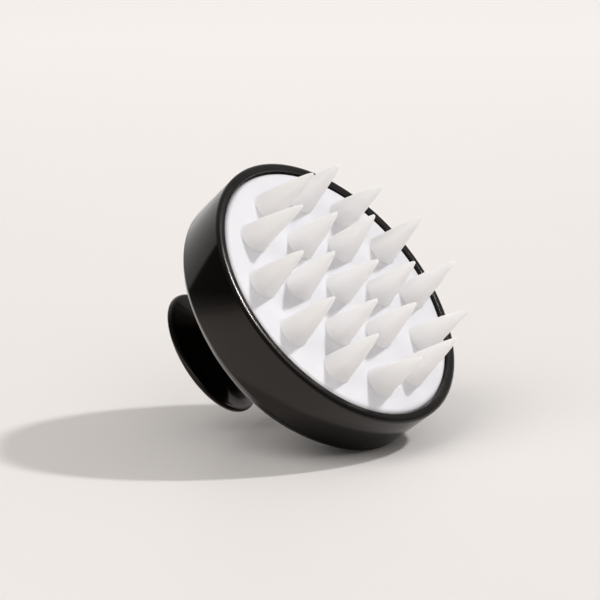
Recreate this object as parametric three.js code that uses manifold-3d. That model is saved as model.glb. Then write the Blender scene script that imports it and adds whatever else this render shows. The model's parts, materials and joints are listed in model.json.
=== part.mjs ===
// Scalp massager brush: a round head with nineteen soft cone bristles, and a slanted oval palm knob
// behind it.
//
// Millimetres, +Z up along the head's axis, bristles pointing up. The origin is the centre of the knob's
// flat end face. +X is the way the knob leans. Heights named ...Z below are measured from the plane of the
// head's rim, and the whole model is lifted from there to the origin by one group at the end.

import * as THREE from 'three';
import { mergeVertices } from 'three/addons/utils/BufferGeometryUtils.js';
import Module from 'manifold-3d';

const wasm = await Module();
wasm.setup();

// ---------------------------------------------------------------- driving dimensions

const clearance = 0.3; // between any two pieces

// head
const headRadius = 41.5;
const wallThickness = 1.6;
const mouthThinning = 0.1; // the wall is this much thinner at the mouth
const wallDraftRadius = 41.02; // outer radius where the side wall ends
const wallEndZ = -15.3;
const domeLandRadius = 13; // flat seat for the knob's stem
const domeLandZ = -29.5;
const shoulderPull = 1.1; // bezier handle at the end of the side wall
const domePull = 16.9; // bezier handle at the seat
const domeOuterSteps = 9;
const domeInnerSteps = 7;
const headSegments = 56;

// bristle pad
const padRadius = 38.6;
const padTopZ = -0.3;
const padThickness = 2.2;
const padFlangeRadius = 39.5;
const padFlangeInnerRadius = 35.8;
const padFlangeBottomZ = -4.6;
const padEdge = { drop: 0.8, shoulderIn: 0.5, shoulderDrop: 0.2, faceIn: 1.2 }; // soft edge of its face

// retaining ring
const ringBoreRadius = padRadius + clearance;
const ringLipBottomZ = -0.65;
const ringSkirtRadius = 39.7;
const ringSkirtBottomZ = -2.4;
const ringEdgeRound = 0.3; // at the bore
const ringBow = { radius: 2.3, width: 1.5, endDeg: 50 }; // the lip falls off to the outside along an arc

// bristles: one in the middle, then two rings
const bristleTipZ = 16.6;
const bristleRootRadius = 4.2;
const bristleTipRadius = 0.45;
const bristleSwell = 0.84; // exponent of the taper: 1 is a straight cone, less is fuller
const bristleSteps = [0.3, 0.62, 0.9]; // shares of the height where the outline has a point
const bristleRings = [
  { count: 1, radius: 0 },
  { count: 6, radius: 15.9 },
  { count: 12, radius: 29.3 },
];
const bristlePhaseDeg = 30; // keeps the pattern symmetric about the knob's lean
const bristleSegments = 10;
const socketRadius = bristleRootRadius + 0.4;
const socketSegments = 12;
const cutOvershoot = 1; // how far a cutting tool runs past the faces it cuts

// support plate and its screws
const plateTopZ = padFlangeBottomZ - clearance;
const plateThickness = 2;
const plateRadius = 39;
const plateScrewCount = 3;
const plateScrewCircle = 22;
const plateScrewPhaseDeg = bristlePhaseDeg + 30; // between two bristles of the inner ring
const postRadius = 3.4;
const postHoleDepth = 9;
const postSegments = 16;
const holeSegments = 12;

// screws: shank radius, head radius, head height, length under the head
const plateScrew = { shank: 1.1, head: 2.5, headHeight: 1.6, length: 9 };
const handleScrew = { shank: 1.7, head: 3.4, headHeight: 2.2, length: 10.5 };
const washerRadius = 5;
const washerThickness = 0.9;
const crossSlot = { width: 0.7, depth: 0.8, span: 1.1 }; // span is a share of the head's radius
const screwHead = { edgeHeight: 0.55, crownRadius: 0.7 }; // shares of the head's height and radius
const screwPointLength = 1.2; // in shank radii
const screwSegments = 14;
const washerSegments = 24;

// knob: an oval end plate, set off to +X and slanted, on a waisted stem
const knobOffset = 11.4;
const knobCentreZ = -43;
const knobTilt = THREE.MathUtils.degToRad(15.7);
const knobLongRadius = 19.7;
const knobShortRadius = 16.1;
const levelFrom = 0.82; // share of the stem from which its sections are parallel to the end face
const beadRadius = 1.05; // the rounded edge of the knob
const beadStartDeg = -70;
const stemLength = 18; // measured along the stem, from its foot to the knob's end face
const stemFootPull = 6; // bezier handles of the stem's centre line
const stemPlatePull = 6;
const stemFoot = { chamfer: 0.6, height: 0.7, coveRadius: 0.5, coveHeight: 3 };
const stemWaist = { radius: 9.6, start: 6, end: 10.5 };
const stemFlare = { radius: 12.5, height: 14.2 }; // bezier handle where the flare meets the bead
const stemHollow = [
  { radius: 8.5, height: 12.6 },
  { radius: 6.4, height: 10.5 },
  { radius: 5.8, height: 7.5 },
  { radius: 0, height: 7.5 },
];
const stemSegments = 40;
const capRadius = 17.6; // before the knob's oval is applied
const capThickness = 1.5;
const capChamfer = 0.35;
const capRimRadius = 11.6; // locating rim behind the cover
const capRimDepth = 1.4;
const capRimThickness = 1.2;

// ---------------------------------------------------------------- materials

function plastic(colour, roughness) {
  return new THREE.MeshStandardMaterial({ color: colour, roughness, metalness: 0 });
}

const glossBlack = plastic(0x0b0b0c, 0.18);
const satinBlack = plastic(0x121214, 0.32);
const whiteSilicone = plastic(0xebebee, 0.55);
const greyPlastic = plastic(0x6f7174, 0.6);
const zincSteel = new THREE.MeshStandardMaterial({ color: 0xb9bcc0, roughness: 0.35, metalness: 1 });

// ---------------------------------------------------------------- shared builders

const vec2 = (r, z) => new THREE.Vector2(r, z);

// Welds a geometry's corners and drops triangles that have shrunk to a line.
function weld(geometry) {
  geometry.deleteAttribute('normal');
  geometry.deleteAttribute('uv');
  const welded = mergeVertices(geometry, 1e-4);
  const kept = [];
  const index = welded.getIndex().array;
  for (let i = 0; i < index.length; i += 3) {
    const [a, b, c] = index.slice(i, i + 3);
    if (a !== b && b !== c && c !== a) kept.push(a, b, c);
  }
  welded.setIndex(kept);
  return welded;
}

// Turns an outline of (radius, height) points about +Z. The outline starts and ends on the axis, or closes
// on itself.
function revolve(outline, segments) {
  const area = outline.reduce((sum, p, i) => {
    const q = outline[(i + 1) % outline.length];
    return sum + p.x * q.y - q.x * p.y;
  }, 0);
  const ordered = area > 0 ? outline : [...outline].reverse();
  return weld(new THREE.LatheGeometry(ordered, segments).rotateX(Math.PI / 2));
}

function closed(outline) {
  return [...outline, outline[0].clone()];
}

function toSolid(geometry) {
  const vertProperties = new Float32Array(geometry.getAttribute('position').array);
  const triVerts = new Uint32Array(geometry.getIndex().array);
  return new wasm.Manifold(new wasm.Mesh({ numProp: 3, vertProperties, triVerts }));
}

function fromSolid(solid) {
  const mesh = solid.getMesh();
  const geometry = new THREE.BufferGeometry();
  geometry.setAttribute('position', new THREE.BufferAttribute(mesh.vertProperties, 3));
  geometry.setIndex(new THREE.BufferAttribute(mesh.triVerts, 1));
  return geometry;
}

// An upright cylinder between two heights, centred at (x, y).
function post(radius, bottom, top, x, y, segments) {
  const geometry = new THREE.CylinderGeometry(radius, radius, top - bottom, segments);
  geometry.rotateX(Math.PI / 2).translate(x, y, (top + bottom) / 2);
  return toSolid(weld(geometry));
}

function polar(radius, degrees) {
  const angle = THREE.MathUtils.degToRad(degrees);
  return [radius * Math.cos(angle), radius * Math.sin(angle)];
}

// A quarter or other part of a circle as outline points, angles in degrees from the +radius direction.
function arc(centreR, centreZ, radius, fromDeg, toDeg, steps) {
  return Array.from({ length: steps + 1 }, (_, i) => {
    const [dr, dz] = polar(radius, fromDeg + ((toDeg - fromDeg) * i) / steps);
    return vec2(centreR + dr, centreZ + dz);
  });
}

const head = new THREE.Group();

function addPiece(name, geometry, material, x = 0, y = 0, z = 0) {
  const mesh = new THREE.Mesh(geometry, material);
  mesh.name = name;
  mesh.position.set(x, y, z);
  head.add(mesh);
  return mesh;
}

// ---------------------------------------------------------------- places that pieces share

const bristlePlaces = bristleRings.flatMap(({ count, radius }) =>
  Array.from({ length: count }, (_, i) => polar(radius, bristlePhaseDeg + (360 / count) * i)),
);
const plateScrewPlaces = Array.from({ length: plateScrewCount }, (_, i) =>
  polar(plateScrewCircle, plateScrewPhaseDeg + (360 / plateScrewCount) * i),
);
const plateBottomZ = plateTopZ - plateThickness;

// Outline of the dome from the side wall to the stem's seat, drawn in by `inset` for the inner face.
function domeOutline(inset, steps) {
  const start = vec2(wallDraftRadius - inset, wallEndZ);
  const end = vec2(domeLandRadius, domeLandZ + inset);
  const curve = new THREE.CubicBezierCurve(
    start,
    vec2(start.x, start.y - shoulderPull),
    vec2(end.x + domePull, end.y),
    end,
  );
  return curve.getPoints(steps);
}

// ---------------------------------------------------------------- housing shell

// Thin bowl with a seat for the stem, a central screw hole, and three posts for the support plate.
function housingShell() {
  const mouthZ = ringLipBottomZ - clearance;
  const outer = [vec2(headRadius, mouthZ), ...domeOutline(0, domeOuterSteps)];
  const inner = [
    vec2(headRadius - wallThickness + mouthThinning, mouthZ),
    ...domeOutline(wallThickness, domeInnerSteps),
  ];
  const holeRadius = handleScrew.shank + clearance;
  const outline = closed([
    ...outer,
    vec2(holeRadius, domeLandZ),
    vec2(holeRadius, domeLandZ + wallThickness),
    ...inner.reverse(),
  ]);
  let shell = toSolid(revolve(outline, headSegments));
  const postTop = plateBottomZ - clearance;
  const halfWall = wallThickness / 2;
  const postFoot = domeLandZ + halfWall;
  const bowl = [
    vec2(0, mouthZ),
    ...outer.map((p) => vec2(p.x - halfWall, p.y)),
    vec2(0, postFoot),
  ];
  const inside = toSolid(revolve(bowl, headSegments));
  const bore = plateScrew.shank + clearance;
  for (const [x, y] of plateScrewPlaces) {
    const boss = post(postRadius, postFoot, postTop, x, y, postSegments).intersect(inside);
    const hole = post(bore, postTop - postHoleDepth, postTop + cutOvershoot, x, y, holeSegments);
    shell = shell.add(boss).subtract(hole);
  }
  return fromSolid(shell);
}
addPiece('housing_shell', housingShell(), glossBlack);

// ---------------------------------------------------------------- retaining ring

// The rounded black lip around the pad, with a skirt that presses on the pad's flange inside the shell.
function retainingRing() {
  const round = ringEdgeRound;
  const bow = ringBow.radius;
  const outline = closed([
    vec2(ringBoreRadius, ringSkirtBottomZ),
    vec2(ringSkirtRadius, ringSkirtBottomZ),
    vec2(ringSkirtRadius, ringLipBottomZ),
    vec2(headRadius, ringLipBottomZ),
    ...arc(headRadius - ringBow.width, -bow, bow, ringBow.endDeg, 90, 4),
    ...arc(ringBoreRadius + round, -round, round, 90, 180, 3),
  ]);
  return revolve(outline, headSegments);
}
addPiece('retaining_ring', retainingRing(), satinBlack);

// ---------------------------------------------------------------- bristle pad

// Soft disc with a thicker flange under the ring, and one round opening for each bristle's root.
function bristlePad() {
  const bottom = padTopZ - padThickness;
  const flangeTop = ringSkirtBottomZ - clearance;
  const outline = [
    vec2(0, bottom),
    vec2(padFlangeInnerRadius, bottom),
    vec2(padFlangeInnerRadius, padFlangeBottomZ),
    vec2(padFlangeRadius, padFlangeBottomZ),
    vec2(padFlangeRadius, flangeTop),
    vec2(padRadius, flangeTop),
    vec2(padRadius, padTopZ - padEdge.drop),
    vec2(padRadius - padEdge.shoulderIn, padTopZ - padEdge.shoulderDrop),
    vec2(padRadius - padEdge.faceIn, padTopZ),
    vec2(0, padTopZ),
  ];
  let pad = toSolid(revolve(outline, headSegments));
  for (const [x, y] of bristlePlaces) {
    const socket = post(socketRadius, bottom - cutOvershoot, padTopZ + cutOvershoot, x, y, socketSegments);
    pad = pad.subtract(socket);
  }
  return fromSolid(pad);
}
addPiece('bristle_pad', bristlePad(), whiteSilicone);

// ---------------------------------------------------------------- bristles

// A soft cone whose root is a half ball centred on the pad's face, so that it can lean in its socket.
function bristle() {
  const height = bristleTipZ - padTopZ;
  const side = bristleSteps.map((share) => {
    const radius = THREE.MathUtils.lerp(bristleTipRadius, bristleRootRadius, (1 - share) ** bristleSwell);
    return vec2(radius, share * height);
  });
  return revolve(
    [
      vec2(0, -bristleRootRadius),
      ...arc(0, 0, bristleRootRadius, -60, 0, 2),
      ...side,
      vec2(bristleTipRadius, height - bristleTipRadius),
      vec2(0, height),
    ],
    bristleSegments,
  );
}
bristlePlaces.forEach(([x, y], i) => {
  addPiece(`bristle_${String(i + 1).padStart(2, '0')}`, bristle(), whiteSilicone, x, y, padTopZ);
});

// ---------------------------------------------------------------- support plate

function supportPlate() {
  const outline = [
    vec2(0, plateBottomZ),
    vec2(plateRadius, plateBottomZ),
    vec2(plateRadius, plateTopZ),
    vec2(0, plateTopZ),
  ];
  let plate = toSolid(revolve(outline, headSegments));
  const bore = plateScrew.shank + clearance;
  for (const [x, y] of plateScrewPlaces) {
    const hole = post(bore, plateBottomZ - cutOvershoot, plateTopZ + cutOvershoot, x, y, holeSegments);
    plate = plate.subtract(hole);
  }
  return fromSolid(plate);
}
addPiece('support_plate', supportPlate(), greyPlastic);

// ---------------------------------------------------------------- screws and washer

// Pan-head screw pointing down: the underside of its head is at height 0.
function screw({ shank, head: headR, headHeight, length }) {
  const outline = [
    vec2(0, -length),
    vec2(shank, -length + shank * screwPointLength),
    vec2(shank, 0),
    vec2(headR, 0),
    vec2(headR, headHeight * screwHead.edgeHeight),
    vec2(headR * screwHead.crownRadius, headHeight),
    vec2(0, headHeight),
  ];
  let body = toSolid(revolve(outline, screwSegments));
  for (const turn of [0, Math.PI / 2]) {
    const slot = new THREE.BoxGeometry(headR * crossSlot.span, crossSlot.width, crossSlot.depth * 2);
    slot.rotateZ(turn).translate(0, 0, headHeight);
    body = body.subtract(toSolid(weld(slot)));
  }
  return fromSolid(body);
}
plateScrewPlaces.forEach(([x, y], i) => {
  addPiece(`plate_screw_${i + 1}`, screw(plateScrew), zincSteel, x, y, plateTopZ + clearance);
});

const washerBottomZ = domeLandZ + wallThickness + clearance;
const washerTopZ = washerBottomZ + washerThickness;

function washer() {
  const bore = handleScrew.shank + clearance;
  const outline = closed([
    vec2(bore, washerBottomZ),
    vec2(washerRadius, washerBottomZ),
    vec2(washerRadius, washerTopZ),
    vec2(bore, washerTopZ),
  ]);
  return revolve(outline, washerSegments);
}
addPiece('handle_washer', washer(), zincSteel);
addPiece('handle_screw', screw(handleScrew), zincSteel, 0, 0, washerTopZ + clearance);

// ---------------------------------------------------------------- knob

// Stem and cap are turned straight and then bent: `bend` carries a point of the straight stem to the slanted
// one, and squeezes the round section to the knob's oval on the way.
const footCentre = new THREE.Vector3(0, 0, domeLandZ - clearance);
const knobCentre = new THREE.Vector3(knobOffset, 0, knobCentreZ);
const knobOutward = new THREE.Vector3(Math.sin(knobTilt), 0, -Math.cos(knobTilt));
const stemLine = new THREE.CubicBezierCurve3(
  footCentre,
  footCentre.clone().add(new THREE.Vector3(0, 0, -stemFootPull)),
  knobCentre.clone().addScaledVector(knobOutward, -stemPlatePull),
  knobCentre,
);

function bend(geometry) {
  const position = geometry.getAttribute('position');
  const point = new THREE.Vector3();
  for (let i = 0; i < position.count; i += 1) {
    point.fromBufferAttribute(position, i);
    const along = THREE.MathUtils.clamp(point.z / stemLength, 0, 1);
    const turned = THREE.MathUtils.smoothstep(along, 0, levelFrom);
    const tilt = knobTilt * turned;
    const squeeze = THREE.MathUtils.lerp(1, knobShortRadius / knobLongRadius, turned);
    const centre = stemLine.getPoint(along);
    position.setXYZ(
      i,
      centre.x + point.x * Math.cos(tilt),
      centre.y + point.y * squeeze,
      centre.z + point.x * Math.sin(tilt),
    );
  }
  return geometry;
}

// The bend runs downwards, so an outline drawn with its height up turns inside out, and the faces are
// flipped back.
function bentRevolve(outline, segments) {
  const geometry = bend(revolve(outline, segments));
  const index = geometry.getIndex().array;
  for (let i = 0; i < index.length; i += 3) [index[i], index[i + 1]] = [index[i + 1], index[i]];
  return geometry;
}

const capSeat = stemLength - capThickness - clearance;

// Foot, waist and flare outside; behind, a seat for the cap and a tapering hollow.
function handleStem() {
  const flare = new THREE.CubicBezierCurve(
    vec2(stemWaist.radius, stemWaist.start),
    vec2(stemWaist.radius, stemWaist.end),
    vec2(stemFlare.radius, stemFlare.height),
    vec2(knobLongRadius - beadRadius - clearance, stemLength - 2 * beadRadius),
  );
  const footRadius = domeLandRadius - stemFoot.chamfer;
  const outline = closed([
    vec2(footRadius, 0),
    vec2(footRadius - stemFoot.chamfer, stemFoot.height),
    vec2(stemWaist.radius + stemFoot.coveRadius, stemFoot.coveHeight),
    ...flare.getPoints(6),
    ...arc(knobLongRadius - beadRadius, stemLength - beadRadius, beadRadius, beadStartDeg, 90, 5),
    vec2(capRadius + clearance, stemLength),
    vec2(capRadius + clearance, capSeat),
    vec2(capRimRadius + clearance, capSeat),
    vec2(capRimRadius + clearance, capSeat - capRimDepth),
    ...stemHollow.map(({ radius, height }) => vec2(radius, height)),
    vec2(0, 0),
  ]);
  const stem = toSolid(bentRevolve(outline, stemSegments));
  const bore = handleScrew.shank + clearance;
  const boreEnd = footCentre.z - handleScrew.length;
  return fromSolid(stem.subtract(post(bore, boreEnd, footCentre.z + cutOvershoot, 0, 0, screwSegments)));
}
addPiece('handle_stem', handleStem(), glossBlack);

// Oval cover in the knob's end, with a locating rim that reaches into the hollow.
function handleCap() {
  const inside = stemLength - capThickness;
  const outline = [
    vec2(0, inside),
    vec2(capRimRadius - capRimThickness, inside),
    vec2(capRimRadius - capRimThickness, inside - capRimDepth),
    vec2(capRimRadius, inside - capRimDepth),
    vec2(capRimRadius, inside),
    vec2(capRadius, inside),
    vec2(capRadius, stemLength - capChamfer),
    vec2(capRadius - capChamfer, stemLength),
    vec2(0, stemLength),
  ];
  return bentRevolve(outline, stemSegments);
}
addPiece('handle_cap', handleCap(), satinBlack);

// ---------------------------------------------------------------- the whole brush, on its origin

head.position.copy(knobCentre).negate();
const scalpMassager = new THREE.Group();
scalpMassager.add(head);

export default scalpMassager;
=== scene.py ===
# Scalp massager brush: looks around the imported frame. Metres, in the row frame.
import json
import math

import bmesh
import bpy
from mathutils import Matrix, Vector


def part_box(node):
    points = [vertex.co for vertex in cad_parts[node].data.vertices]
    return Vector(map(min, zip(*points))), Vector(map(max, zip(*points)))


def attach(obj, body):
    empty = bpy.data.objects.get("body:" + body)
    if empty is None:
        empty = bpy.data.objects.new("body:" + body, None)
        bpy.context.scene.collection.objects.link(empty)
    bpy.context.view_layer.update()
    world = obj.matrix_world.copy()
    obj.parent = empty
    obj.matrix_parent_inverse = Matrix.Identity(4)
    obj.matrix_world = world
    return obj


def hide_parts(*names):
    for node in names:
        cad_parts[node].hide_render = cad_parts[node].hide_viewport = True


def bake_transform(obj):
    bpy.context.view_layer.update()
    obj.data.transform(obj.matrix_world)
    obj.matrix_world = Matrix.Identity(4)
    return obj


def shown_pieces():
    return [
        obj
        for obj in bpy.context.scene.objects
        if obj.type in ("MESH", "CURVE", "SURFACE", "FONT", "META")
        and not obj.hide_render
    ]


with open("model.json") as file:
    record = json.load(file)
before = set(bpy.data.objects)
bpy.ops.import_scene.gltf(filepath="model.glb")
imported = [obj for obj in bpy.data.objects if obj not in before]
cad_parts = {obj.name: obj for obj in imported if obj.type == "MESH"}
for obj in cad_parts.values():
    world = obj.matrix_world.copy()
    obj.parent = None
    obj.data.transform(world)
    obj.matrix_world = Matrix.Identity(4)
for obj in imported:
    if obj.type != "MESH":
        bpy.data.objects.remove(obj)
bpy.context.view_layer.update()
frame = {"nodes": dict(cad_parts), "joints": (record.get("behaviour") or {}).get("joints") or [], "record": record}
MM = 0.001
BODY = "brush_body"

# ------------------------------------------------------------------ places, from the frame

shell_low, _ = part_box("housing_shell")
ring_low, ring_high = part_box("retaining_ring")
pad_low, pad_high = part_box("bristle_pad")
stem_low, stem_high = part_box("handle_stem")
HEAD_R = (ring_high.x - ring_low.x) / 2
HEAD_X = (ring_high.x + ring_low.x) / 2
RIM_Z = ring_high.z
RIM = Vector((HEAD_X, 0, RIM_Z))
PAD_Z = pad_high.z
hinges = {j["child"]: Vector(j["pos_m"]) for j in frame["joints"]}
BRISTLES = sorted(hinges)
TIP_Z = max(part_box(name)[1].z for name in BRISTLES)

# ------------------------------------------------------------------ mesh helpers

def new_object(name, bm):
    """Smooth-shaded object from a bmesh, which is used up."""
    mesh = bpy.data.meshes.new(name)
    bm.normal_update()
    bm.to_mesh(mesh)
    bm.free()
    obj = bpy.data.objects.new(name, mesh)
    bpy.context.scene.collection.objects.link(obj)
    for polygon in mesh.polygons:
        polygon.use_smooth = True
    return obj


ON_AXIS = 1e-9  # a point with a smaller radius lies on the axis


def revolve(name, outline, segments=160, place=None):
    """Turns an outline of (radius, height) points, in metres, about Z.

    The outline starts and ends on the axis, or else it is closed to a loop. place, if it is passed, carries
    each point of the turned form to its final place."""
    bm = bmesh.new()
    angles = [2 * math.pi * k / segments for k in range(segments)]
    around = [(math.cos(a), math.sin(a)) for a in angles]
    rows = []
    for radius, height in outline:
        if radius < ON_AXIS:
            rows.append([bm.verts.new((0, 0, height))])
        else:
            rows.append([bm.verts.new((radius * x, radius * y, height)) for x, y in around])
    pairs = list(zip(rows, rows[1:]))
    if outline[0][0] >= ON_AXIS:
        pairs.append((rows[-1], rows[0]))
    for low, high in pairs:
        for k in range(segments):
            j = (k + 1) % segments
            corners = [low[k % len(low)], low[j % len(low)], high[j % len(high)], high[k % len(high)]]
            unique = list(dict.fromkeys(corners))
            if len(unique) > 2:
                bm.faces.new(unique)
    if place:
        for vert in bm.verts:
            vert.co = place(vert.co)
    bmesh.ops.recalc_face_normals(bm, faces=bm.faces)
    return new_object(name, bm)


def arc(r, z, radius, start, end, steps=6):
    """Points on a circle about (r, z), from angle start to end in degrees."""
    angles = [math.radians(start + (end - start) * k / steps) for k in range(steps + 1)]
    return [(r + radius * math.cos(a), z + radius * math.sin(a)) for a in angles]


def bezier(p0, p1, p2, p3, steps):
    """Points on the cubic curve from p0 to p3, with the handles p1 and p2."""
    points = []
    for k in range(steps + 1):
        t = k / steps
        w = ((1 - t) ** 3, 3 * t * (1 - t) ** 2, 3 * t * t * (1 - t), t ** 3)
        points.append(tuple(sum(wk * p[i] for wk, p in zip(w, (p0, p1, p2, p3))) for i in (0, 1)))
    return points


# ------------------------------------------------------------------ node helpers

def new_material(name):
    material = bpy.data.materials.new(name)
    material.use_nodes = True
    nodes = material.node_tree.nodes
    return material, nodes, material.node_tree.links, nodes["Principled BSDF"]


def object_coords(nodes):
    return nodes.new("ShaderNodeTexCoord").outputs["Object"]


def noise(nodes, links, scale, detail=3.0, roughness=0.5, stretch=None):
    """Noise texture over the object's own metres, so a scale of 1000 has millimetre features."""
    texture = nodes.new("ShaderNodeTexNoise")
    texture.inputs["Scale"].default_value = scale
    texture.inputs["Detail"].default_value = detail
    texture.inputs["Roughness"].default_value = roughness
    coords = object_coords(nodes)
    if stretch:
        mapping = nodes.new("ShaderNodeMapping")
        mapping.inputs["Scale"].default_value = stretch
        links.new(coords, mapping.inputs["Vector"])
        coords = mapping.outputs["Vector"]
    links.new(coords, texture.inputs["Vector"])
    return texture.outputs["Fac"]


def remap(nodes, links, value, low, high, to_low, to_high):
    """Maps low..high of a value to to_low..to_high, clamped."""
    node = nodes.new("ShaderNodeMapRange")
    for key, number in (("From Min", low), ("From Max", high), ("To Min", to_low), ("To Max", to_high)):
        node.inputs[key].default_value = number
    links.new(value, node.inputs["Value"])
    return node.outputs["Result"]


def mix_colour(nodes, links, factor, a, b):
    """Colour between a and b; each is a tuple or another node's output."""
    node = nodes.new("ShaderNodeMix")
    node.data_type = "RGBA"
    links.new(factor, node.inputs["Factor"])
    first, second, mixed = node.inputs[6], node.inputs[7], node.outputs[2]  # the node's sockets for colours
    for socket, value in ((first, a), (second, b)):
        if isinstance(value, tuple):
            socket.default_value = (*value, 1)
        else:
            links.new(value, socket)
    return mixed


def dot(nodes, links, vector, axis):
    """How far a point or direction reaches along an axis."""
    node = nodes.new("ShaderNodeVectorMath")
    node.operation = "DOT_PRODUCT"
    node.inputs[1].default_value = axis
    links.new(vector, node.inputs[0])
    return node.outputs["Value"]


def times(nodes, links, a, b):
    """The product of two values."""
    node = nodes.new("ShaderNodeMath")
    node.operation = "MULTIPLY"
    links.new(a, node.inputs[0])
    links.new(b, node.inputs[1])
    return node.outputs["Value"]


def bump(nodes, links, height, distance, strength=1.0, under=None):
    """Bump of the given depth in metres, on top of another bump if one is passed."""
    node = nodes.new("ShaderNodeBump")
    node.inputs["Strength"].default_value = strength
    node.inputs["Distance"].default_value = distance
    links.new(height, node.inputs["Height"])
    if under:
        links.new(under, node.inputs["Normal"])
    return node.outputs["Normal"]


# ------------------------------------------------------------------ materials

DUST = (0.32, 0.31, 0.30)
MOST_DUST = 0.10  # share of dust in the middle of a speck
WARM_GLOSS = (1.0, 0.91, 0.87, 1)  # tint of the black plastic's reflections


def black_plastic(name, colour, roughness, grain_depth):
    """Moulded black ABS: a faint long wave, fine grain, a little dust and uneven polish."""
    material, nodes, links, shader = new_material(name)
    dust = remap(nodes, links, noise(nodes, links, 2600, 2), 0.70, 0.82, 0, MOST_DUST)
    dusty = mix_colour(nodes, links, dust, colour, DUST)
    links.new(dusty, shader.inputs["Base Color"])
    polish = remap(nodes, links, noise(nodes, links, 90, 4), 0.3, 0.7, roughness * 0.8, roughness * 1.25)
    links.new(polish, shader.inputs["Roughness"])
    wave = bump(nodes, links, noise(nodes, links, 45, 1), 0.12 * MM, 0.5)
    grain = bump(nodes, links, noise(nodes, links, 5200, 2), grain_depth, 0.6, wave)
    links.new(grain, shader.inputs["Normal"])
    shader.inputs["IOR"].default_value = 1.48
    shader.inputs["Specular Tint"].default_value = WARM_GLOSS
    return material


ROOT_HEIGHT = 6 * MM  # a bristle's root, where the light has less depth to spread in


def darker(colour, share):
    """The colour with each channel brought down to a share of it."""
    return tuple(channel * share for channel in colour)


def silicone(name, colour, depth, tip_colour=None):
    """Soft white silicone: light spreads in it, down to depth, under a matt and slightly uneven skin.

    With a colour for the tips, it is the bristles' silicone: the light spreads less at their roots."""
    material, nodes, links, shader = new_material(name)
    cloud = remap(nodes, links, noise(nodes, links, 120, 3), 0.3, 0.7, 0, 1)
    base = mix_colour(nodes, links, cloud, colour, darker(colour, 0.975))
    if tip_colour:
        split = nodes.new("ShaderNodeSeparateXYZ")
        links.new(object_coords(nodes), split.inputs["Vector"])
        height = split.outputs["Z"]
        rise = remap(nodes, links, height, PAD_Z, TIP_Z, 0, 1)
        base = mix_colour(nodes, links, rise, base, tip_colour)
        clear_of_root = remap(nodes, links, height, PAD_Z, PAD_Z + ROOT_HEIGHT, 0.2, 1)
        links.new(remap(nodes, links, clear_of_root, 0, 1, 0, depth), shader.inputs["Subsurface Scale"])
        links.new(clear_of_root, shader.inputs["Subsurface Weight"])
    links.new(base, shader.inputs["Base Color"])
    rough = remap(nodes, links, noise(nodes, links, 700, 3), 0.3, 0.7, 0.46, 0.6)
    links.new(rough, shader.inputs["Roughness"])
    skin = bump(nodes, links, noise(nodes, links, 2600, 4), 0.03 * MM, 0.5)
    links.new(skin, shader.inputs["Normal"])
    shader.inputs["IOR"].default_value = 1.41
    shader.inputs["Subsurface Weight"].default_value = 0.8
    shader.inputs["Subsurface Radius"].default_value = (1.0, 0.95, 0.9)
    shader.inputs["Subsurface Scale"].default_value = depth
    return material


def moulded_grey(name, colour):
    """Matt grey plastic with a grain and a slightly uneven tone."""
    material, nodes, links, shader = new_material(name)
    tone = remap(nodes, links, noise(nodes, links, 300, 4), 0.3, 0.7, 0, 1)
    mixed = mix_colour(nodes, links, tone, colour, darker(colour, 0.9))
    links.new(mixed, shader.inputs["Base Color"])
    links.new(bump(nodes, links, noise(nodes, links, 3000, 3), 0.04 * MM), shader.inputs["Normal"])
    shader.inputs["Roughness"].default_value = 0.6
    return material


def zinc_steel(name, colour):
    """Zinc-plated steel with faint streaks across the screw's axis."""
    material, nodes, links, shader = new_material(name)
    streak = noise(nodes, links, 500, 4, stretch=(1, 1, 8))
    mixed = mix_colour(nodes, links, streak, colour, darker(colour, 0.8))
    links.new(mixed, shader.inputs["Base Color"])
    links.new(remap(nodes, links, streak, 0.3, 0.7, 0.25, 0.42), shader.inputs["Roughness"])
    shader.inputs["Metallic"].default_value = 1.0
    return material


shell_plastic = black_plastic("shell_plastic", (0.0022, 0.0019, 0.0016), 0.085, 0.002 * MM)
ring_plastic = black_plastic("ring_plastic", (0.0025, 0.0023, 0.0022), 0.22, 0.014 * MM)
cover_plastic = black_plastic("cover_plastic", (0.006, 0.0055, 0.005), 0.24, 0.010 * MM)
pad_silicone = silicone("pad_silicone", (0.80, 0.805, 0.84), 0.6 * MM)
bristle_silicone = silicone("bristle_silicone", (0.86, 0.85, 0.855), 5 * MM, (0.875, 0.865, 0.86))
plate_plastic = moulded_grey("plate_plastic", (0.16, 0.16, 0.17))
screw_steel = zinc_steel("screw_steel", (0.62, 0.63, 0.65))


def paint(obj, material):
    obj.data.materials.clear()
    obj.data.materials.append(material)


def finish_piece(obj, material, body, slot, *stands_for):
    """Gives a new piece its material and the body it rides on, and hides the CAD nodes it stands for. The slot
    argument is not used.
    """
    paint(obj, material)
    if body:
        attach(obj, body)
    if stands_for:
        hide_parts(*stands_for)


for node_name, material in (
    ("support_plate", plate_plastic),
    ("handle_washer", screw_steel),
    ("handle_screw", screw_steel),
    ("plate_screw_1", screw_steel),
    ("plate_screw_2", screw_steel),
    ("plate_screw_3", screw_steel),
):
    paint(frame["nodes"][node_name], material)

# ------------------------------------------------------------------ housing shell

# Heights in the head's outlines are measured from the rim's plane, so they are negative.
GAP = 0.3 * MM  # between neighbouring pieces, as in the frame
WALL = 1.6 * MM
WALL_THINNING = 0.1 * MM  # at the mouth
WALL_END_R = HEAD_R - 0.48 * MM
WALL_END = -15.3 * MM
LAND_R = 13 * MM  # flat seat for the knob's stem
LAND = shell_low.z - RIM_Z
SHOULDER_PULL = 1.1 * MM  # the dome curve's handle below the side wall
LAND_PULL = 16.9 * MM  # and its handle beside the seat
MOUTH = -0.70 * MM
SCREW_BORE = 2.0 * MM


def from_rim(outline):
    """The outline with its heights measured in the row frame."""
    return [(r, z + RIM_Z) for r, z in outline]


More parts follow.
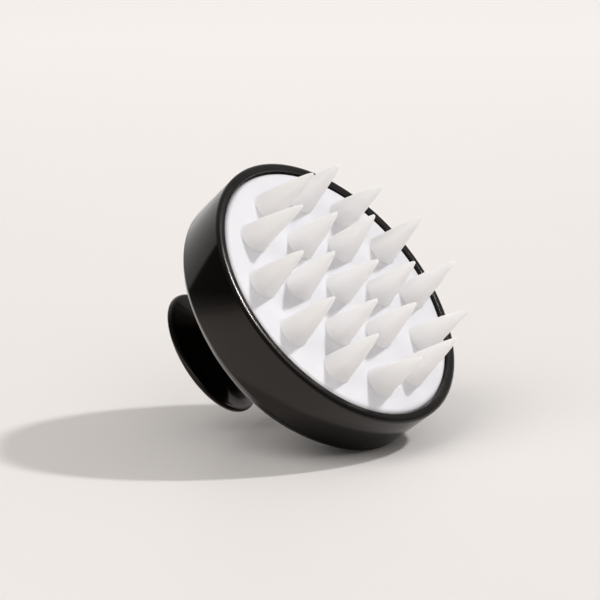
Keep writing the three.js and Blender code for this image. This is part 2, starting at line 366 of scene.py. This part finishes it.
def at_axis(obj):
    """Moves a piece that was turned about Z onto the head's axis."""
    obj.data.transform(Matrix.Translation((HEAD_X, 0, 0)))
    return obj


def dome(inset, steps):
    """Curve from the end of the side wall to the seat, inset from the outside."""
    r0, z0 = WALL_END_R - inset, WALL_END
    r1, z1 = LAND_R, LAND + inset
    return bezier((r0, z0), (r0, z0 - SHOULDER_PULL), (r1 + LAND_PULL, z1), (r1, z1), steps)


def make_shell():
    """Side wall, shoulder and dome, with the hole for the knob's screw in the seat."""
    edge = 0.12 * MM
    outline = arc(HEAD_R - edge, MOUTH - edge, edge, 90, 0, 5)
    outline += dome(0, 48)
    outline += [(SCREW_BORE + edge, LAND), (SCREW_BORE, LAND + edge), (SCREW_BORE, LAND + WALL)]
    outline += dome(WALL, 30)[::-1]
    outline += [(HEAD_R - WALL + WALL_THINNING, MOUTH)]
    return at_axis(revolve("shell", from_rim(outline)))


finish_piece(make_shell(), shell_plastic, BODY, "shell", "housing_shell")

# Three posts inside the shell, under the plate's screws. Their feet are sunk in the dome's wall.
plate_low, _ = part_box("support_plate")
dome_inside = from_rim(dome(WALL, 60))
POST_R = 3.4 * MM
POST_BORE = 1.4 * MM
POST_EDGE = 0.3 * MM
POST_SINK = 0.5 * MM  # into the wall
FOOT = -1.0  # marks the foot's points, whose height is set later; far below any real height


def make_post(number):
    """Hollow post for one of the plate's screws. It ends just under the plate."""
    low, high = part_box(f"plate_screw_{number}")
    centre = (low + high) / 2
    top = plate_low.z - GAP

    def stand(point):
        """Moves the post under its screw, and its foot into the slope of the dome's wall."""
        placed = Vector((point.x + centre.x, point.y + centre.y, point.z))
        if point.z < FOOT / 2:
            reach = math.hypot(placed.x - HEAD_X, placed.y)
            placed.z = min(z for r, z in dome_inside if r > reach) - POST_SINK
        return placed

    outline = [(POST_BORE, FOOT), (POST_R, FOOT), (POST_R, top - POST_EDGE)]
    outline += [(POST_R - POST_EDGE, top), (POST_BORE, top)]
    return revolve(f"shell_post_{number}", outline, 32, stand)


for number in (1, 2, 3):
    finish_piece(make_post(number), shell_plastic, BODY, "shell")

# ------------------------------------------------------------------ retaining ring

RING_BORE = 38.9 * MM
RING_SKIRT = 39.7 * MM
LIP = MOUTH + 0.04 * MM  # underside of the bead, just above the shell's mouth
BOW = 2.3 * MM  # radius of the arc along which the bead falls off to the outside
BOW_WIDTH = 1.5 * MM


def make_ring():
    """Rounded bead between the pad and the shell, with its skirt inside the shell."""
    bottom = ring_low.z - RIM_Z
    edge = 0.06 * MM
    inset = 0.02 * MM
    round_in = 0.3 * MM
    outline = [(RING_BORE, bottom), (RING_SKIRT, bottom), (RING_SKIRT, LIP)]
    outline += [(HEAD_R - inset - edge, LIP), (HEAD_R - inset, LIP + edge)]
    outline += arc(HEAD_R - BOW_WIDTH, -BOW, BOW, 50, 90, 14)
    outline += arc(RING_BORE + round_in, -round_in, round_in, 90, 180, 8)
    return at_axis(revolve("ring", from_rim(outline), 192))


finish_piece(make_ring(), ring_plastic, BODY, "ring", "retaining_ring")

# ------------------------------------------------------------------ pad

PAD_THICKNESS = 2.2 * MM
PAD_EDGE = 1.7 * MM
FLANGE_BORE = 35.8 * MM
PAD_RINGS = 12  # rings of faces on the flat top


def make_pad():
    """Flat soft face with a rounded edge, and a flange that the ring holds down."""
    top = PAD_Z - RIM_Z
    bottom = top - PAD_THICKNESS
    radius = RING_BORE - GAP
    flange_r = (pad_high.x - pad_low.x) / 2
    flange_low = pad_low.z - RIM_Z
    flange_top = ring_low.z - RIM_Z - GAP
    outline = [(0, bottom), (FLANGE_BORE, bottom), (FLANGE_BORE, flange_low), (flange_r, flange_low)]
    outline += [(flange_r, flange_top), (radius, flange_top)]
    outline += arc(radius - PAD_EDGE, top - PAD_EDGE, PAD_EDGE, 0, 90, 8)
    outline += [(radius * k / PAD_RINGS, top) for k in range(PAD_RINGS - 1, 0, -1)]
    outline += [(0, top)]
    return at_axis(revolve("pad", from_rim(outline), 160))


finish_piece(make_pad(), pad_silicone, BODY, "pad", "bristle_pad")

# ------------------------------------------------------------------ bristles

ROOT_R = 4.3 * MM
TIP_R = 0.5 * MM
FILLET = 0.2 * MM
SWELL = 0.82  # exponent of the taper: 1 is a straight cone, less is fuller
SINK = 0.4 * MM  # into the pad
LEAN_CURVE = 1.3  # exponent of the lean: 1 is straight, more keeps the lower part upright

# Soft cones don't cool quite straight: how far some tips stand off, in millimetres along X and Y.
SET_OF_TIPS = {
    "bristle_01": (0.5, 2.0),
    "bristle_02": (1.5, 1.0),
    "bristle_03": (0.5, 1.0),
    "bristle_04": (1.0, 1.5),
    "bristle_05": (1.5, 2.0),
    "bristle_06": (2.0, 1.5),
    "bristle_07": (1.0, 1.5),
    "bristle_08": (0.0, 1.0),
    "bristle_11": (0.0, 3.0),
    "bristle_12": (-1.5, -1.0),
    "bristle_13": (-2.0, 0.0),
    "bristle_14": (-1.0, -1.0),
    "bristle_16": (-0.5, 1.5),
    "bristle_18": (-2.0, -1.0),
    "bristle_19": (-3.0, -1.0),
}


def make_bristle(body_name, root):
    """Full cone with a small fillet at its root and a round tip, leaning as its body's set says."""
    height = TIP_Z - root.z
    straight = height - TIP_R
    rings = 16

    def taper(z):
        return TIP_R + (ROOT_R - TIP_R) * (1 - z / straight) ** SWELL

    outline = [(0, -SINK), (ROOT_R + FILLET, -SINK)]
    outline += arc(ROOT_R + FILLET, FILLET, FILLET, 270, 195, 6)
    for k in range(1, rings):
        z = FILLET + (straight - FILLET) * k / rings
        outline.append((taper(z), z))
    outline += arc(0, straight, TIP_R, 8, 90, 5)[:-1]
    outline += [(0, height)]
    across, sideways = SET_OF_TIPS.get(body_name, (0, 0))

    def lean(point):
        share = (max(0.0, point.z) / height) ** LEAN_CURVE
        return point + Vector((across * MM * share, sideways * MM * share, 0))

    bristle = revolve(f"soft_{body_name}", outline, 40, lean)
    bristle.data.transform(Matrix.Translation(root))
    return bristle


for body_name in BRISTLES:
    root = hinges[body_name]
    bristle = make_bristle(body_name, root)
    finish_piece(bristle, bristle_silicone, None, "bristle", body_name)
    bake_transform(bristle)

# ------------------------------------------------------------------ knob

mount = frame["record"]["mounts"][0]
KNOB_FACE = Vector(mount["pos_m"])
KNOB_OUT = Vector(mount["axis"]).normalized()
KNOB_TILT = math.asin(KNOB_OUT.x)
KNOB_SHORT = (stem_high.y - stem_low.y) / 2
KNOB_LONG = 19.7 * MM
STEM_LENGTH = 18 * MM
STEM_PULL = 6 * MM  # handles of the stem's centre line
LEVEL_FROM = 0.82  # share of the stem's length from which it has the knob's slant and oval
STEM_FOOT = Vector((HEAD_X, 0, stem_high.z))
FOOT_R = 12.4 * MM
WAIST_R = 9.6 * MM


def bend_stem(point):
    """Carries a point of the straight stem, whose foot is at height 0, to the slanted one."""
    along = min(1.0, max(0.0, point.z / STEM_LENGTH))
    t = min(1.0, along / LEVEL_FROM)
    turned = t * t * (3 - 2 * t)
    tilt = KNOB_TILT * turned
    squeeze = 1 + (KNOB_SHORT / KNOB_LONG - 1) * turned
    pull_down = STEM_FOOT - Vector((0, 0, STEM_PULL))
    pull_back = KNOB_FACE - KNOB_OUT * STEM_PULL
    line = (STEM_FOOT, pull_down, pull_back, KNOB_FACE)
    s = 1 - along
    weights = (s ** 3, 3 * along * s * s, 3 * along * along * s, along ** 3)
    centre = sum((w * p for w, p in zip(weights, line)), Vector())
    return centre + Vector((point.x * math.cos(tilt), point.y * squeeze, point.x * math.sin(tilt)))


BEAD = 1.05 * MM
CAP_R = 17.6 * MM
CAP_T = 1.5 * MM
CAP_RIM = 11.6 * MM  # outer radius of the cover's rim, which reaches into the knob's hollow
CAP_RIM_DEPTH = 1.4 * MM
CAP_RIM_WALL = 1.2 * MM
CAP_RINGS = 6  # rings of faces on the cover's flat end


def make_knob():
    """Stem with a rounded foot, a waist and a flare to the oval bead; hollow behind, for the cover."""
    waist = (WAIST_R, 6 * MM)
    flare_end = (KNOB_LONG - BEAD - 0.3 * MM, STEM_LENGTH - 2 * BEAD - 0.1 * MM)
    foot_round = ((FOOT_R, 0.3 * MM), (FOOT_R - 0.6 * MM, 1.2 * MM), (WAIST_R, 2.5 * MM), waist)
    flare = (waist, (WAIST_R, 10.5 * MM), (12.5 * MM, 14.2 * MM), flare_end)
    outline = [(0, 0), (FOOT_R - 0.4 * MM, 0)]
    outline += bezier(*foot_round, 12)
    outline += bezier(*flare, 24)[1:]
    outline += arc(KNOB_LONG - BEAD, STEM_LENGTH - BEAD, BEAD, -70, 85, 12)
    mouth = CAP_R + GAP
    mouth_edge = 0.15 * MM
    recess = CAP_RIM + GAP
    seat = STEM_LENGTH - CAP_T - GAP
    hollow = [(8.5 * MM, 12.6 * MM), (6.4 * MM, 10.5 * MM), (5.8 * MM, 7.5 * MM), (0, 7.5 * MM)]
    outline += [(mouth + mouth_edge, STEM_LENGTH), (mouth, STEM_LENGTH - mouth_edge), (mouth, seat)]
    outline += [(recess, seat), (recess, seat - CAP_RIM_DEPTH), *hollow]
    return revolve("knob", outline, 128, bend_stem)


def make_knob_cover():
    """Oval cover in the knob's end, with a rim that reaches into the hollow."""
    inside = STEM_LENGTH - CAP_T
    rim_end = inside - CAP_RIM_DEPTH
    rim_bore = CAP_RIM - CAP_RIM_WALL
    edge = 0.35 * MM
    outline = [(0, inside), (rim_bore, inside), (rim_bore, rim_end)]
    outline += [(CAP_RIM, rim_end), (CAP_RIM, inside), (CAP_R, inside)]
    outline += arc(CAP_R - edge, STEM_LENGTH - edge, edge, 0, 90, 5)
    outline += [(CAP_R * k / CAP_RINGS, STEM_LENGTH) for k in range(CAP_RINGS - 1, 0, -1)]
    outline += [(0, STEM_LENGTH)]
    return revolve("knob_cover", outline, 128, bend_stem)


finish_piece(make_knob(), shell_plastic, BODY, "handle", "handle_stem")
finish_piece(make_knob_cover(), cover_plastic, BODY, "cap", "handle_cap")

# ------------------------------------------------------------------ camera

CAMERA_AZIMUTH = math.radians(59.3)  # from +X, anticlockwise
CAMERA_ELEVATION = math.radians(34.2)  # above the rim's plane
CAMERA_ROLL = math.radians(49.3)  # the head's axis leans to the picture's right
CAMERA_DISTANCE = 0.673
AIM_RIGHT = -10.74 * MM  # the picture's centre, from the rim's centre
AIM_UP = -2.84 * MM

back = Vector((
    math.cos(CAMERA_ELEVATION) * math.cos(CAMERA_AZIMUTH),
    math.cos(CAMERA_ELEVATION) * math.sin(CAMERA_AZIMUTH),
    math.sin(CAMERA_ELEVATION),
))
level_right = Vector((0, 0, 1)).cross(back).normalized()
level_up = back.cross(level_right)
right = level_right * math.cos(CAMERA_ROLL) + level_up * math.sin(CAMERA_ROLL)
up = back.cross(right)


def seen_from_camera(across, upward, towards):
    """A direction given in the picture's own right, up and towards-the-viewer."""
    return right * across + up * upward + back * towards


camera_data = bpy.data.cameras.new("camera")
camera_data.lens = 150
camera_data.sensor_width = 36
camera_data.clip_start, camera_data.clip_end = 0.05, 20
camera = bpy.data.objects.new("camera", camera_data)
bpy.context.scene.collection.objects.link(camera)
aim = RIM + right * AIM_RIGHT + up * AIM_UP
camera.matrix_world = Matrix.Translation(aim + back * CAMERA_DISTANCE) @ Matrix(
    [[right[i], up[i], back[i], 0] for i in range(3)] + [[0, 0, 0, 1]]
)
bpy.context.scene.camera = camera

# ------------------------------------------------------------------ floor

CAMERA_PITCH = math.radians(12)  # how far the camera looks down on the floor
floor_up = seen_from_camera(0, math.cos(CAMERA_PITCH), math.sin(CAMERA_PITCH))
floor_front = right.cross(floor_up)
meshes = [piece.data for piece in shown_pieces() if piece.type == "MESH"]
surface = [vert.co.copy() for mesh in meshes for vert in mesh.vertices]
TOUCH = min(surface, key=floor_up.dot)  # the brush's lowest point
BOARD = (0.862, 0.839, 0.825)
BOARD_CLOUD = (0.848, 0.825, 0.811)
# painted light: the board's colour further behind the brush
BOARD_PAINTED_LIGHT_BEHIND = (0.98, 0.955, 0.94)
# painted shade, seen in reflections only: the floor turns towards this colour
REFLECTED_SHADE = (0.0, 0.0, 0.0)
SHADE_PATCH_CENTRE = TOUCH - right * 22 * MM  # middle of the patch of painted shade that reflections see beside the brush's lowest point
SHADE_PATCH_INNER = 18 * MM
SHADE_PATCH_OUTER = 28 * MM
SHADE_PATCH_SHARE = 0.15  # of the floor's colour that is left in the patch of painted shade
FAR_LEFT_SHADE_SHARE = 0.4  # and far to the left, where reflections see painted shade too


def floor_material():
    """Pale matt board, made paler further behind the brush by painted light. Its underside lets the camera
    through, so the brush can be seen from below it.

    Reflections see it darker, as painted shade, in a patch beside the brush's lowest point and far to the left."""
    material, nodes, links, shader = new_material("pale_floor")
    place = object_coords(nodes)
    tone = remap(nodes, links, noise(nodes, links, 6, 4), 0.3, 0.7, 0, 1)
    pale = mix_colour(nodes, links, tone, BOARD, BOARD_CLOUD)
    # painted light: the board turns paler further behind the brush
    behind = remap(nodes, links, dot(nodes, links, place, -floor_front), 0.1, 1.0, 0, 1)
    pale = mix_colour(nodes, links, behind, pale, BOARD_PAINTED_LIGHT_BEHIND)
    reach = nodes.new("ShaderNodeVectorMath")
    reach.operation = "DISTANCE"
    reach.inputs[1].default_value = SHADE_PATCH_CENTRE
    links.new(place, reach.inputs[0])
    reflected_shade_patch = remap(nodes, links, reach.outputs["Value"], SHADE_PATCH_INNER, SHADE_PATCH_OUTER, SHADE_PATCH_SHARE, 1)
    to_left = dot(nodes, links, place, -right)
    reflected_shade_left = remap(nodes, links, to_left, 0.10, 0.90, 1, FAR_LEFT_SHADE_SHARE)
    share = times(nodes, links, reflected_shade_patch, reflected_shade_left)
    # painted shade: reflections see the floor darkened towards black in the patch and far to the left
    mirrored = mix_colour(nodes, links, share, REFLECTED_SHADE, pale)
    glossy_ray = nodes.new("ShaderNodeLightPath").outputs["Is Glossy Ray"]
    links.new(mix_colour(nodes, links, glossy_ray, pale, mirrored), shader.inputs["Base Color"])
    shader.inputs["Roughness"].default_value = 0.6
    clear = nodes.new("ShaderNodeBsdfTransparent")
    side = nodes.new("ShaderNodeNewGeometry")
    choose = nodes.new("ShaderNodeMixShader")
    links.new(side.outputs["Backfacing"], choose.inputs["Fac"])
    links.new(shader.outputs["BSDF"], choose.inputs[1])
    links.new(clear.outputs["BSDF"], choose.inputs[2])
    links.new(choose.outputs["Shader"], nodes["Material Output"].inputs["Surface"])
    return material


def make_floor():
    """Square board under the brush's lowest point, at right angles to floor_up."""
    half = 4.0
    centre = RIM + floor_up * floor_up.dot(TOUCH - RIM)
    bm = bmesh.new()
    bm.faces.new([
        bm.verts.new(centre + right * half * i - floor_front * half * j)
        for i, j in ((-1, -1), (1, -1), (1, 1), (-1, 1))
    ])
    floor = new_object("floor", bm)
    floor.data.materials.append(floor_material())
    return floor


make_floor()

# ------------------------------------------------------------------ light

LIGHT_DISTANCE = 8.0


def area_light(name, direction, size, power, colour, mirrored=True):
    """Round lamp that faces the rim's centre. Reflections don't show it unless it is mirrored."""
    data = bpy.data.lights.new(name, "AREA")
    data.shape = "DISK"
    data.size = size
    data.energy = power
    data.color = colour
    light = bpy.data.objects.new(name, data)
    bpy.context.scene.collection.objects.link(light)
    outward = direction.normalized()
    light.location = RIM + outward * LIGHT_DISTANCE
    light.rotation_mode = "QUATERNION"
    light.rotation_quaternion = outward.to_track_quat("Z", "Y")
    light.visible_glossy = mirrored


area_light("key", seen_from_camera(0.66, 0.75, 0.045), 0.59, 300.0, (1.0, 0.99, 0.985))
area_light(
    "side_fill", seen_from_camera(-0.50, 0.62, 0.60), 6.4, 220.0, (1.0, 0.972, 0.945), mirrored=False
)
area_light("front_fill", seen_from_camera(0.25, 0.45, 0.85), 4.8, 80.0, (1.0, 0.98, 0.96), mirrored=False)

# ------------------------------------------------------------------ room

ROOM_LIGHT = (0.97, 0.935, 0.90, 1)
ROOM_STRENGTH = 0.405
BACKDROP = (0.80, 0.775, 0.755, 1)
WINDOW = (0.98, 0.96, 0.94)  # this colour and those below are seen in reflections only
WALL_BEHIND = (0.56, 0.545, 0.53)
WALL_BEHIND_RIGHT = (0.26, 0.25, 0.24)
ROOM_IN_FRONT = (0.09, 0.085, 0.08)
SCREEN = (0.05, 0.045, 0.04)
SCREEN_FOOT = (0.19, 0.18, 0.17)


def room_in_reflections(nodes, links):
    """Colours of a room that is bright behind, dark in front, and has a dark screen to the brush's left."""
    direction = nodes.new("ShaderNodeTexCoord").outputs["Generated"]

    def along(axis, low, high, to_low, to_high):
        return remap(nodes, links, dot(nodes, links, direction, axis), low, high, to_low, to_high)

    to_left = along(right, -0.60, -0.54, 1, 0)
    not_behind = along(floor_front, -0.405, -0.375, 0, 1)
    not_high = along(floor_up, 0.55, 0.65, 1, 0)
    screen = times(nodes, links, times(nodes, links, to_left, not_behind), not_high)
    beside = along(floor_front, -0.92, -0.45, 0, 1)
    in_front = along(floor_front, -0.40, 0.25, 0, 1)
    left_half = mix_colour(nodes, links, beside, WINDOW, WALL_BEHIND)
    back_half = mix_colour(nodes, links, along(right, 0.0, 0.30, 0, 1), left_half, WALL_BEHIND_RIGHT)
    room = mix_colour(nodes, links, in_front, back_half, ROOM_IN_FRONT)
    screen_colour = mix_colour(nodes, links, along(floor_up, 0.0, 0.08, 0, 1), SCREEN_FOOT, SCREEN)
    return mix_colour(nodes, links, screen, room, screen_colour)


def studio_world():
    """Even white room for the light, another room for reflections, and a pale backdrop for the camera."""
    world = bpy.data.worlds.new("studio")
    world.use_nodes = True
    nodes, links = world.node_tree.nodes, world.node_tree.links
    rays = nodes.new("ShaderNodeLightPath")

    def for_rays(kind, others, background):
        """Shows the background to one kind of rays, and what was there before to the others."""
        choose = nodes.new("ShaderNodeMixShader")
        links.new(rays.outputs[kind], choose.inputs["Fac"])
        links.new(others, choose.inputs[1])
        links.new(background.outputs["Background"], choose.inputs[2])
        return choose.outputs["Shader"]

    light = nodes["Background"]
    light.inputs["Color"].default_value = ROOM_LIGHT
    light.inputs["Strength"].default_value = ROOM_STRENGTH
    mirrored = nodes.new("ShaderNodeBackground")
    links.new(room_in_reflections(nodes, links), mirrored.inputs["Color"])
    backdrop = nodes.new("ShaderNodeBackground")
    backdrop.inputs["Color"].default_value = BACKDROP
    seen = for_rays("Is Glossy Ray", light.outputs["Background"], mirrored)
    seen = for_rays("Is Camera Ray", seen, backdrop)
    links.new(seen, nodes["World Output"].inputs["Surface"])
    return world


bpy.context.scene.world = studio_world()
bpy.context.scene.view_settings.view_transform = "Standard"
